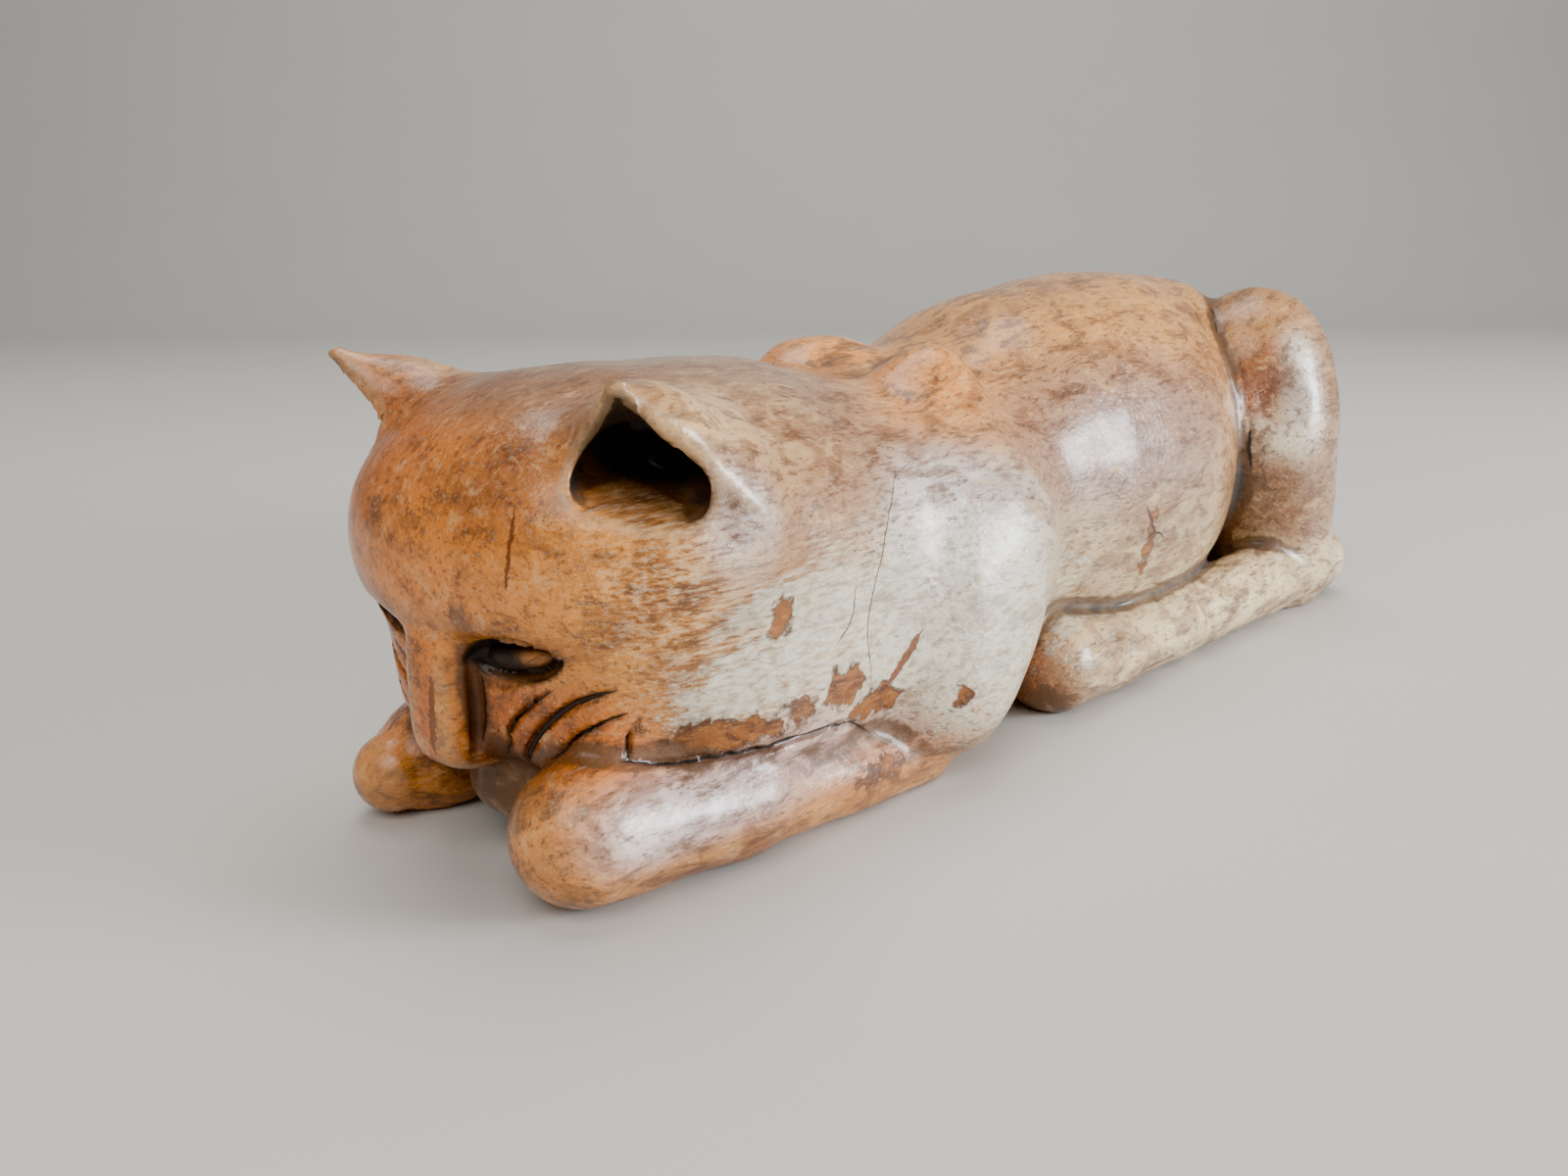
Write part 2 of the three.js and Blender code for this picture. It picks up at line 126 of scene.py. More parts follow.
# Carved lines on the left half, mirrored to the right: width, depth, share of the width on
# either side of the middle that is black, and points near the surface.
GROOVES = [
    (1.2, 0.5, 0, [[6.0, -5, 33.4], [9.6, -4.6, 36.4], [16, -4.5, 37.8], [22.4, -0.6, 35.4]]),
    (1.1, 0.5, 0, [[6.0, -5, 30.6], [9, -2.9, 29.6], [14, -1.3, 30.8], [22.4, -0.6, 35.4]]),
    (2.3, 1.3, 0, [[6.5, -4.6, 34], [6.3, -3.7, 26], [5.9, -3.6, 16.4]]),
    (1.4, 1.2, 0.26, [[26.6, 4.4, 30.8], [21.6, 1.3, 28.6], [16.0, 0, 24.2], [11, 0.8, 18.7],
                      [9, 1.4, 14.6]]),
    (1.0, 0.9, 0.18, [[18.7, -0.2, 30.2], [14.2, -0.7, 27], [9.8, -1, 22.6], [8.2, -1.4, 15.6]]),
    (1.0, 0.9, 0.20, [[26.9, 5.9, 27.2], [24.1, 2.9, 25.5], [20.4, 1, 22.7], [17.6, 0.9, 19.6]]),
    (0.9, 0.9, 0.24, [[26.5, 6.7, 24.5], [25.9, 6.7, 22.3], [26.2, 6.6, 20.1]]),
    (1.4, 1.2, 0.17, [[25.8, 5.1, 20.3], [31.2, 20.1, 17.9], [34.6, 40, 17.4], [35.2, 52, 13]]),
    (1.3, 0.5, 0, [[27, 194, 62], [32, 193.5, 50], [33, 191, 38], [33, 186, 24]]),
]
APART = 4  # the first four lie far enough apart to share one set of values over the mesh
GROOVE_SAMPLES = 20
GROOVE_END = 0.35  # the share of its size that a carved line keeps at its ends
GROOVE_REACH = 3.0
LINE_SAMPLES = 16
LINE_REACH = 3.2  # how far round a line its values are kept
LINE_FADE = 1.6
EYE = {
    "from": [5.6, -5.2, 33.2],
    "to": [21.3, -0.7, 35.2],
    "half": [8.9, 5.6, 3.0],
    "apart": 1.9,
    "down": 0.55,
}
EYE_REACH = 14
EYEBALL = ([0.2, 1.3, -1.4], [5.8, 2.1, 1.7], 2)  # in the eye's own directions: along, down, out
# Painted shade of a socket and painted light on its eyeball, each from outside its edge to inside it.
SOCKET_DEPTH = 6
SOCKET_EDGE = (0.7333, -0.6)
EYEBALL_EDGE = (0.32, -0.08)
EYEBALL_LIGHT = 0.30
PATCH_LIGHT = 0.6
# Where the painted light on the eyeball is strongest.
EYEBALL_LIT_PATCH = ([3.2, 0.6, 0], [2.8, 1.1, 4])  # place and reach
SOFT = {"body": 20, "limb": 8, "face": 6, "muzzle": 3, "crease": 2.5, "ear": 5, "sharp": 0.9, "cut": 0.3}

TINY = 1e-6
FAR = 1e3
SLOPE_STEP = 0.04
CURVE_STEP = 1.8
STRAY = 0.25  # how far off the surface a vertex may end up
CREASE = 0.9  # how far a vertex may move from the middle of its cell's crossings
FLAT = 0.02  # the height under which a vertex belongs to the flat underside
SAME_FACE = math.radians(1)
SHARP_EDGE = math.radians(62)


def ramp(value, start, end):
    """Nothing up to the start, one from the end on."""
    return np.clip((value - start) / (end - start), 0, 1)


def mirror(points):
    """The points brought over to the left half."""
    mirrored = points.copy()
    mirrored[:, 0] = np.abs(mirrored[:, 0])
    return mirrored


def unit(vector):
    vector = np.asarray(vector, float)
    return vector / np.linalg.norm(vector)


def mass(points, shape):
    """Below zero inside a rounded block, zero on it, and close to the distance from it."""
    at, half, power = np.array(shape[0], "f"), np.array(shape[1], "f"), shape[2]
    gap = np.abs(points - at) / half
    slope = gap ** (power - 1)
    reach = (slope * gap).sum(-1) ** (1 / power) + TINY
    return (reach - 1) / (reach ** (1 - power) * np.linalg.norm(slope / half, axis=-1) + TINY)


def limb(points, shape):
    """The same for a limb with round ends whose radius changes along it."""
    start, end = np.array(shape[0], "f"), np.array(shape[1], "f")
    axis = end - start
    share = np.clip((points - start) @ axis / (axis @ axis), 0, 1)
    away = np.linalg.norm(points - start - share[:, None] * axis, axis=-1)
    return away - shape[2] - (shape[3] - shape[2]) * share


def blend(a, b, soft):
    overlap = np.maximum(soft - np.abs(a - b), 0) / soft
    return np.minimum(a, b) - overlap * overlap * soft / 4


def remove(a, b, soft):
    return -blend(-a, b, soft)


def ear_opening(tip):
    """The middle between the ear's corners, its own directions and what is up from its floor."""
    middle = (EAR_INNER_CORNER + EAR_OUTER_CORNER) / 2
    width = EAR_OUTER_CORNER - EAR_INNER_CORNER
    out = unit(np.cross(width, tip - EAR_INNER_CORNER))
    floor = unit(np.cross(width, EAR_BACK))
    return middle, np.array([unit(tip - middle), out, -unit(width)]), floor if floor[2] > 0 else -floor


def ear_limb(points, shape, start_from, end_from, axes):
    start, end, *radii = shape
    return limb(points, (start_from + start @ axes, end_from + end @ axes, *radii))


def ear_field(points, tip):
    middle, axes, _ = ear_opening(tip)
    whole = ear_limb(points, EAR_HORN, middle, tip, axes)
    whole = blend(whole, limb(points, EAR_ROOT), SOFT["face"])
    return remove(whole, -((points - tip) @ axes[1]), SOFT["sharp"])


def ear_hollow_field(points, tip):
    middle, axes, floor = ear_opening(tip)
    mouth = ear_limb(points, EAR_MOUTH, middle, tip, axes)
    pocket = ear_limb(points, EAR_POCKET, middle, middle, axes)
    hollow = blend(mouth, pocket, SOFT["muzzle"])
    return remove(hollow, (points - EAR_INNER_CORNER) @ floor, SOFT["crease"])


def head_field(points, mirrored):
    head = blend(mass(points, SKULL), mass(points, BROW), SOFT["face"])
    head = blend(head, mass(points, NAPE), SOFT["limb"])
    head = blend(head, mass(mirrored, CHEEK), SOFT["limb"])
    head = blend(head, mass(mirrored, CHEEKBONE), SOFT["limb"])
    head = blend(head, mass(mirrored, WHISKER_PAD), SOFT["face"])
    head = blend(head, mass(points, MUZZLE), SOFT["muzzle"])
    head = remove(head, mass(mirrored, EYE_HOLLOW), SOFT["muzzle"])
    head = blend(head, mass(points, NOSE), SOFT["crease"])
    return blend(head, mass(points, CHIN), SOFT["muzzle"])


def hind_leg_field(mirrored):
    leg = blend(mass(mirrored, HAUNCH), limb(mirrored, THIGH), SOFT["limb"])
    leg = remove(leg, mass(mirrored, HAUNCH_DISH), SOFT["muzzle"])
    foot = blend(limb(mirrored, HIND_TOES), limb(mirrored, HIND_FOOT), SOFT["crease"])
    return blend(leg, foot, SOFT["crease"])


def forearm_field(points, side):
    (elbow, thin), (wrist, middle), (paw, thick) = ELBOW, side["wrist"], side["paw"]
    arm = limb(points, (elbow, wrist, thin, middle))
    return blend(arm, limb(points, (wrist, paw, middle, thick)), SOFT["crease"])


def whole_field(points):
    """The whole cat before any line is carved."""
    mirrored = mirror(points)
    own = [points * np.array([side["sign"], 1, 1], "f") for side in SIDES]
    body = blend(mass(points, BELLY), mass(points, BACK), SOFT["limb"])
    body = blend(body, mass(points, CHEST), SOFT["body"])
    for side, spots in zip(SIDES, own):
        body = blend(body, mass(spots, side["shoulder"]), SOFT["ear"])
    body = blend(body, limb(mirrored, UPPER_ARM), SOFT["body"])
    body = blend(body, head_field(points, mirrored), SOFT["limb"])
    for side, spots in zip(SIDES, own):
        tip = np.array(side["ear_tip"])
        body = blend(body, ear_field(spots, tip), SOFT["ear"])
        body = remove(body, ear_hollow_field(spots, tip), SOFT["sharp"])
    for side, spots in zip(SIDES, own):
        body = blend(body, forearm_field(spots, side), SOFT["muzzle"])
    body = blend(body, hind_leg_field(mirrored), SOFT["crease"])
    tail = np.full(len(points), FAR)
    for part in TAIL:
        tail = blend(tail, limb(points, part), SOFT["muzzle"])
    return blend(body, tail, SOFT["crease"])


# Slow waves, as a knife and sandpaper leave them: how far they stand and how long they are.
WAVE_HEIGHT = 0.16
WAVE_LENGTHS = [13, 17, 23, 31, 41]
WAVE_RNG = np.random.default_rng(5)
WAVES = [(unit(WAVE_RNG.normal(size=3)) * 2 * math.pi / length, WAVE_RNG.uniform(0, 6.28))
         for length in WAVE_LENGTHS]


def wavy_field(points):
    body = whole_field(points)
    for direction, phase in WAVES:
        body = body + WAVE_HEIGHT / 2 * (1 + np.sin(points @ direction.astype("f") + phase))
    return body


def value_and_slope(field, points):
    value = field(points)
    slope = np.empty((len(points), 3))
    for axis in range(3):
        shift = np.zeros(3)
        shift[axis] = SLOPE_STEP
        slope[:, axis] = (field(points + shift) - field(points - shift)) / (2 * SLOPE_STEP)
    return value, slope


def onto_surface(field, points, steps=4):
    for _ in range(steps):
        value, slope = value_and_slope(field, points)
        points = points - slope * (value / ((slope ** 2).sum(-1) + TINY))[:, None]
    return points


def smooth_path(path, samples):
    """Points at even steps along a soft curve through the path."""
    path = np.array(path, float)
    ends = [2 * path[0] - path[1], *path, 2 * path[-1] - path[-2]]
    shares = np.linspace(0, len(path) - 1, samples)
    points = []
    for share in shares:
        start = min(int(share), len(path) - 2)
        t = share - start
        a, b, c, d = ends[start:start + 4]
        points.append(0.5 * (2 * b + (c - a) * t + (2 * a - 5 * b + 4 * c - d) * t ** 2
                             + (3 * b - a - 3 * c + d) * t ** 3))
    return np.array(points)


def traced_groove(width, depth, _, path, sign):
    """Centres and radii of a row of balls that cut one carved line."""
    points = smooth_path(np.array(path) * [sign, 1, 1], GROOVE_SAMPLES)
    points = onto_surface(wavy_field, points)
    _, slope = value_and_slope(wavy_field, points)
    normal = slope / np.linalg.norm(slope, axis=-1)[:, None]
    bulge = np.sqrt(np.sin(np.linspace(0, math.pi, GROOVE_SAMPLES)).clip(0))
    taper = GROOVE_END + (1 - GROOVE_END) * bulge
    radius = width / 2 * taper
    centre = points + normal * (width / 2 - depth * taper)[:, None]
    return centre.astype("f"), radius


TUBES = [traced_groove(*groove, sign) for groove in GROOVES for sign in (1, -1)]


def tube_distance(points, tube):
    centre, radius = tube
    away = np.full(len(points), FAR)
    for i in range(len(centre) - 1):
        away = np.minimum(away, limb(points, (centre[i], centre[i + 1], radius[i], radius[i + 1])))
    return away


def groove_distance(points):
    """Distance to the nearest carved line, as far as it matters."""
    away = np.full(len(points), GROOVE_REACH)
    for tube in TUBES:
        low, high = tube[0].min(0) - 2 * GROOVE_REACH, tube[0].max(0) + 2 * GROOVE_REACH
        near = np.all((points > low) & (points < high), axis=-1)
        if near.any():
            away[near] = np.minimum(away[near], tube_distance(points[near], tube))
    return away


def eye_axes(sign):
    start, end = (np.array(EYE[key]) * [sign, 1, 1] for key in ("from", "to"))
    middle = onto_surface(wavy_field, ((start + end) / 2)[None])
    _, slope = value_and_slope(wavy_field, middle)
    along = unit(end - start)
    out = unit(slope[0] - along * (slope[0] @ along))
    return middle[0], np.array([along, np.cross(along, out), out])


EYES = [eye_axes(sign) for sign in (1, -1)]


def spot_weight(points, at, reach):
    return np.exp(-np.sum(((points - at) / reach) ** 2, axis=-1))


def eye_socket(spots, depth):
    """A pointed almond: what two flat round masses, one above the other, have in common."""
    half = [*EYE["half"][:2], depth]
    places = ([0, EYE["down"] + shift, 0] for shift in (EYE["apart"], -EYE["apart"]))
    return np.maximum(*(mass(spots, (place, half, 2)) for place in places))


def carve_eyes(body, points):
    for middle, axes in EYES:
        near = np.linalg.norm(points - middle, axis=-1) < EYE_REACH
        if not near.any():
            continue
        spots = (points[near] - middle) @ axes.T
        carved = remove(body[near], eye_socket(spots, EYE["half"][2]), SOFT["cut"])
        body[near] = blend(carved, mass(spots, EYEBALL), SOFT["cut"])
    return body


def eye_painted_shade(points):
    """Painted shade: one inside an eye socket, less on the eyeball and its painted lit patch, nothing
    outside.
    """
    dark = np.zeros(len(points))
    for middle, axes in EYES:
        spots = (points - middle) @ axes.T
        socket = ramp(eye_socket(spots, SOCKET_DEPTH), *SOCKET_EDGE)
        ball = ramp(mass(spots, EYEBALL), *EYEBALL_EDGE)
        light = EYEBALL_LIGHT + PATCH_LIGHT * spot_weight(spots, *EYEBALL_LIT_PATCH)
        dark = np.maximum(dark, socket * (1 - ball * light))
    return dark


def carved_field(points):
    body = carve_eyes(wavy_field(points), points)
    body = remove(body, groove_distance(points), SOFT["cut"])
    return np.maximum(body, -points[:, 2])


def grid_axis(reach, bands):
    lines = [reach[0]]
    while lines[-1] < reach[1]:
        fine = any(low <= lines[-1] < high for low, high in bands)
        lines.append(lines[-1] + (FINE_STEP if fine else STEP))
    return np.array(lines, "f")


def on_grid(spots, axes):
    return np.stack([axis[spots[:, i]] for i, axis in enumerate(axes)], -1)


def grid_points(axes):
    return np.stack(np.meshgrid(*axes, indexing="ij"), -1).reshape(-1, 3)


def sampled(axes):
    """The field at every grid point near the surface. Further away only its sign matters."""
    shape = [len(axis) for axis in axes]
    coarse = [axis[::BLOCK] for axis in axes]
    rough = carved_field(grid_points(coarse)).reshape([len(axis) for axis in coarse])
    nearest = [np.minimum((np.arange(n) + BLOCK // 2) // BLOCK, len(c) - 1)
               for n, c in zip(shape, coarse)]
    values = rough[np.ix_(*nearest)]
    close = np.abs(values) < NEAR
    values[close] = carved_field(on_grid(np.argwhere(close), axes))
    return values


def cell_vertices(values, axes):
    """Every grid cell that the surface crosses, and the middle of its crossings."""
    inside = values < 0
    corners = [np.array([c & 1, c >> 1 & 1, c >> 2 & 1]) for c in range(8)]
    count = np.zeros([n - 1 for n in values.shape], int)
    for corner in corners:
        window = tuple(slice(c, c + n - 1) for c, n in zip(corner, values.shape))
        count += inside[window]
    cells = np.argwhere((count > 0) & (count < 8))
    total, crossings = np.zeros((len(cells), 3)), np.zeros(len(cells))
    for corner in corners:
        for direction in np.flatnonzero(corner == 0):
            start = cells + corner
            end = start + np.eye(3, dtype=int)[direction]
            a, b = values[tuple(start.T)], values[tuple(end.T)]
            crossed = (a < 0) != (b < 0)
            share = np.where(crossed, a / np.where(crossed, a - b, 1), 0)[:, None]
            first, last = on_grid(start, axes), on_grid(end, axes)
            total += np.where(crossed[:, None], first + (last - first) * share, 0)
            crossings += crossed
    return cells, total / crossings[:, None], on_grid(cells, axes), on_grid(cells + 1, axes)


def grid_quads(values, cells):
    """One quad around every grid edge that the surface crosses."""
    inside = values < 0
    vertex_of = np.full(values.shape, -1)
    vertex_of[tuple(cells.T)] = np.arange(len(cells))
    quads = []
    for axis in range(3):
        step = np.eye(3, dtype=int)
        first, second = step[(axis + 1) % 3], step[(axis + 2) % 3]
        ahead = np.roll(inside, -1, axis)
        edges = np.argwhere(inside != ahead)
        edges = edges[edges[:, axis] < values.shape[axis] - 1]
        ring = [edges - first - second, edges - second, edges, edges - first]
        ring = np.stack([vertex_of[tuple(spots.T)] for spots in ring], -1)
        flip = ~inside[tuple(edges.T)]
        ring[flip] = ring[flip][:, ::-1]
        quads.append(ring)
    return np.concatenate(quads)


def fine_surface():
    axes = [grid_axis(*both) for both in zip(GRID_REACH, FINE_BANDS)]
    values = sampled(axes)
    cells, average, low, high = cell_vertices(values, axes)
    placed = np.clip(onto_surface(carved_field, average, 3), low, high)
    strayed = np.abs(carved_field(placed)) > STRAY
    strayed |= np.linalg.norm(placed - average, axis=-1) > CREASE
    points = np.where(strayed[:, None], average, placed)
    return points, grid_quads(values, cells)


def curvature(points):
    """How strongly the form bulges (above zero) or folds in (below zero) around each point."""
    middle = whole_field(points)
    total = -6 * middle
    for axis in range(3):
        for way in (-1, 1):
            shift = np.zeros(3)
            shift[axis] = way * CURVE_STEP
            total += whole_field(points + shift)
    return total / CURVE_STEP ** 2


# Finish. Each soft spot of colour: the colour, its place and its reach along X, Y and Z.
HONEY = (0.84, 0.27, 0.031)
ORANGE = (0.56, 0.12, 0.006)
RED_BROWN = (0.30, 0.055, 0.006)
TAN = (0.66, 0.32, 0.10)
TAN_WEIGHT = 0.03  # the ground colour where no spot reaches
PALE = (0.74, 0.66, 0.50)
LILAC = (0.58, 0.38, 0.34)
STRIP = (0.98, 0.46, 0.09)
# Painted highlight: pale bluish white where the window's light glints.
PAINTED_HIGHLIGHT = (0.84, 0.82, 0.84)
SPOTS = [
    (HONEY, [8, -8, 48], [16, 12, 14]),
    ((0.90, 0.34, 0.05), [27, 2, 43], [10, 14, 10]),
    ((0.34, 0.085, 0.006), [14, -4, 58], [6, 10, 7]),
    (ORANGE, [-14, -4, 56], [16, 14, 14]),
    ((0.265, 0.11, 0.036), [2, 12, 70], [20, 12, 12]),
    ((0.92, 0.60, 0.29), [32, 30, 66], [11, 15, 9]),
    ((0.33, 0.19, 0.115), [16, 50, 64], [24, 20, 16]),
    ((0.36, 0.17, 0.052), [35, 16, 40], [10, 16, 12]),
    ((0.36, 0.18, 0.095), [34, 38, 56], [9, 14, 10]),
    # Painted shade on the floor inside the ear.
    ((0.17, 0.11, 0.065), [27, 12, 56.5], [7, 7, 2.6]),
    (ORANGE, [4, -6, 24], [9, 9, 11]),
    (STRIP, [4.4, -8.5, 25], [1.7, 3, 9]),
    (STRIP, [-2.8, -8.5, 25], [1.4, 3, 8]),
    ((0.022, 0.020, 0.010), [6.2, -3.7, 24], [1.5, 2.4, 10]),
    # Painted shadow under the brow, over the eye.
    ((0.14, 0.055, 0.016), [13, -6, 38.6], [9, 3, 2.2]),
    # Painted highlight on the lower lid.
    ((0.62, 0.26, 0.06), [15, -2.5, 31.6], [6, 3, 1.5]),
    ((0.50, 0.115, 0.006), [18, 1, 22], [9, 9, 8]),
    # Painted shadow under the nose and chin.
    ((0.02, 0.005, 0.002), [6, 3, 11], [12, 14, 6]),
    ((0.74, 0.26, 0.045), [23, -6, 10], [11, 10, 10]),
    ((0.85, 0.36, 0.09), [24, -9, 14], [5, 5, 5]),
    ((0.74, 0.24, 0.03), [-22, -6, 8], [12, 12, 9]),
    # Painted sheen: a lilac tint along the forearm's side where the window's sheen lies.
    (LILAC, [35, 35, 14], [10, 28, 5]),
    ((0.60, 0.17, 0.03), [34, 54, 7], [8, 16, 4.5]),
    ((0.60, 0.24, 0.05), [36, 40, 3], [14, 34, 5]),
    ((0.83, 0.32, 0.073), [20, 84, 66], [14, 16, 10]),
    ((0.70, 0.32, 0.095), [12, 140, 76], [24, 40, 13]),
    ((0.36, 0.20, 0.125), [33, 118, 60], [12, 30, 11]),
    ((0.36, 0.24, 0.20), [35, 132, 50], [12, 20, 12]),
    ((0.53, 0.40, 0.23), [38, 122, 26], [14, 34, 12]),
    (PALE, [40, 68, 30], [12, 22, 18]),
    # Painted highlights on the rims of the haunch's hollow.
    (PALE, [38.6, 203.8, 53], [4, 4, 12]),
    (PALE, [35, 199, 44], [6, 5, 4]),
    ((0.25, 0.05, 0.012), [33.5, 198.5, 54], [4.5, 4.5, 7.5]),
    ((0.38, 0.24, 0.145), [34, 222, 50], [16, 14, 26]),
    ((0.50, 0.235, 0.08), [20, 206, 74], [14, 14, 8]),
    ((0.92, 0.74, 0.45), [42, 170, 10], [12, 60, 8]),
    # Painted highlights on the nape, the shoulder, the forearm and the haunch's rim.
    (PAINTED_HIGHLIGHT, [37, 19, 53], [4, 5, 7]),
    (PAINTED_HIGHLIGHT, [39, 71, 40], [6, 12, 11]),
    (PAINTED_HIGHLIGHT, [35, 66, 47], [6, 8, 8]),
    (PAINTED_HIGHLIGHT, [33, 2, 13], [5, 7, 4]),
    (PAINTED_HIGHLIGHT, [34, 17, 13], [4, 9, 3]),
    (PAINTED_HIGHLIGHT, [39, 203, 53], [4, 3, 8]),
    ((0.34, 0.24, 0.21), [33, 125, 50], [6, 9, 8]),
    (RED_BROWN, [33, 103, 9], [9, 6, 9]),
    ((0.24, 0.125, 0.065), [38, 203, 26], [10, 14, 10]),
]
# Ragged pale areas, worn bare patches and dark-streaked areas, by place and reach.
PALE_AREAS = [([36, 30, 37], [10, 12, 7]), ([37, 50, 32], [9, 16, 13]), ([40, 72, 28], [9, 14, 20]),
              ([38, 100, 24], [9, 22, 13]), ([32, 20, 27], [8, 12, 5])]
BARE = [
    ([36, 42, 23.5], [6, 4.2, 3.2]), ([33.5, 50.5, 18.5], [6, 6.2, 2.4]), ([38, 66, 17], [5, 1.9, 2.0]),
    ([32, 19, 21.2], [6, 11.5, 2.3]), ([36, 138, 29], [5, 1.3, 6.5]), ([36, 28.5, 37], [5, 1.8, 3.2]),
    ([35.5, 51, 7], [5, 6, 1.6]), ([35, 32, 22], [5, 3.2, 1.3]), ([31, 7, 24], [4, 3, 1.4]),
    ([-37, 96, 22], [5, 5, 2.2]), ([-36, 40, 26], [5, 3, 3.4]), ([-33, 190, 30], [5, 2.4, 5]),
]
STREAKED = [([33, 10, 45], [9, 13, 12]), ([34, 24, 32], [8, 14, 10]), ([36, 44, 42], [7, 10, 8])]
# Painted shade under the nose and chin, below the flanks and behind the haunches.
PAINTED_SHADE_SPOTS = [([6, 3, 10], [11, 13, 5.5]), ([16, 9, 13], [5, 6, 3]), ([36, 100, 3], [9, 9, 5]),
          ([31, 191, 30], [6, 7, 9])]
# Open cracks and scratches: width, how black they are, then points near the surface.
CRACKS = [
    (1.00, 0.0, [[2.6, -8.3, 31], [2.2, -8.4, 24], [1.6, -8, 19]]),
    (0.42, 0.9, [[7.3, -3.3, 30.4], [7.1, -3.1, 26.4], [6.6, -3.0, 20]]),
    (0.50, 0.1, [[18.4, -4.4, 56], [18.8, -6, 51], [18.2, -6.5, 45.8]]),
    (1.30, 0.0, [[35.4, 59.5, 28.2], [34.8, 56.5, 24.5], [34.1, 53, 20.5]]),
    (0.70, 1.0, [[31.9, 193.4, 45], [31.8, 193.6, 41], [32.4, 194.3, 36]]),
    (0.40, 0.8, [[16.5, 201.1, 72.2], [19, 199, 70], [21.5, 195.3, 66.8]]),
    (0.40, 0.8, [[37, 135, 37], [37, 139, 31], [37.2, 141, 30.5], [37, 143, 29]]),
    (0.22, 0.6, [[31, 60, 54], [34.5, 54, 48], [36, 51, 43], [36, 47, 32], [35, 49, 22]]),
    (0.22, 0.6, [[36, 40, 31], [36, 43, 34], [35.8, 44, 39]]),
    (0.30, 0.8, [[-30, 150, 60], [-34, 156, 50], [-36, 158, 40]]),
]


MOST_FOLDED = 2
LEAST_BULGE = 0.12
BARE_REACH = 5
PAINTED_SHADE_AMOUNT = 0.32
# Painted shade inside an ear, in millimetres: how near its hollow's wall counts, the height over the floor
# up to which it stays lit, where the dark is full behind the opening and where it takes all.
EAR_SKIN = (1.4, 0.4)
EAR_LIT_FLOOR = (0.5, 5.0)
EAR_EDGE = 1.3
EAR_DEEP = 8


def tint(points):
    """The soft change of colour over the whole cat, painted highlights and painted shade included."""
    mirrored = mirror(points)
    total = np.tile(np.array(TAN) * TAN_WEIGHT, (len(points), 1))
    weights = np.full(len(points), TAN_WEIGHT)
    for colour, at, reach in SPOTS:
        weight = spot_weight(mirrored if at[0] > 0 else points, at, reach)
        total += weight[:, None] * colour
        weights += weight
    return total / weights[:, None]


def line_sets():
    """Two sets of cracks and carved lines, far apart within a set: half width, blackness, path."""
    sets = [[], [(width / 2, black, np.array(path, float)) for width, black, path in CRACKS]]
    for number, (width, _, core, path) in enumerate(GROOVES):
        for sign in (1, -1) if core else ():
            sets[number >= APART].append((width * core, 1.0, np.array(path) * [sign, 1, 1]))
    return sets


def line_values(points, lines):
    """For each vertex the way across the nearest line, its half width, blackness and fade."""
    width, black, fade = (np.zeros(len(points)) for _ in range(3))
    side, nearest = np.full(len(points), LINE_REACH), np.full(len(points), LINE_REACH)
    for half_width, blackness, path in lines:
        line = onto_surface(wavy_field, smooth_path(path, LINE_SAMPLES))
        _, slope = value_and_slope(wavy_field, line)
        for i in range(len(line) - 1):
            axis = line[i + 1] - line[i]
            share = (points - line[i]) @ axis / (axis @ axis)
            held = np.clip(share, 0, 1)
            spot = line[i] + held[:, None] * axis
            away = np.linalg.norm(points - spot, axis=-1)
            closer = away < nearest
            across = unit(np.cross(slope[i], axis))
            along = np.sqrt(np.sin(math.pi * (i + held) / (len(line) - 1)).clip(0))
            past = np.abs(share - held) * np.linalg.norm(axis)
            values = (away, (points - spot) @ across, along * np.clip(1 - past, 0, 1), half_width, blackness)
            for target, value in zip((nearest, side, fade, width, black), values):
                target[closer] = value[closer] if np.ndim(value) else value
    fade[np.abs(side) > LINE_FADE] = 0
    return {"side": side, "width": width, "black": black, "fade": fade}


def ear_painted_shade(points):
    """Painted shade in an ear, how dark at each point: dark soon behind the opening, later on its floor."""
    dark = np.zeros(len(points))
    for side in SIDES:
        own, tip = points * [side["sign"], 1, 1], np.array(side["ear_tip"])
        _, axes, floor = ear_opening(tip)
        skin = ramp(np.abs(ear_hollow_field(own, tip)), *EAR_SKIN) * (own[:, 0] > 0)
        above = ramp((own - EAR_INNER_CORNER) @ floor, *EAR_LIT_FLOOR)
        behind = (tip - own) @ axes[1]
        deep = ramp(behind, 0, EAR_DEEP) ** 3
        dark = np.maximum(dark, skin * ramp(behind, 0, EAR_EDGE) * (deep + (1 - deep) * above))
    return dark


def union_of(points, shapes):
    return np.min([mass(points, (at, half, 2)) for at, half in shapes], axis=0)


def sum_of(points, shapes):
    return np.sum([spot_weight(points, at, reach) for at, reach in shapes], axis=0)


def merge_underside(mesh):
    """Joins the many small faces of the flat underside."""
    cells = bmesh.new()
    cells.from_mesh(mesh)
    flat = [vert for vert in cells.verts if vert.co.z < FLAT * MM]
    edges = [edge for edge in cells.edges if all(vert.co.z < FLAT * MM for vert in edge.verts)]
    bmesh.ops.dissolve_limit(cells, angle_limit=SAME_FACE, verts=flat, edges=edges)
    cells.to_mesh(mesh)
    cells.free()


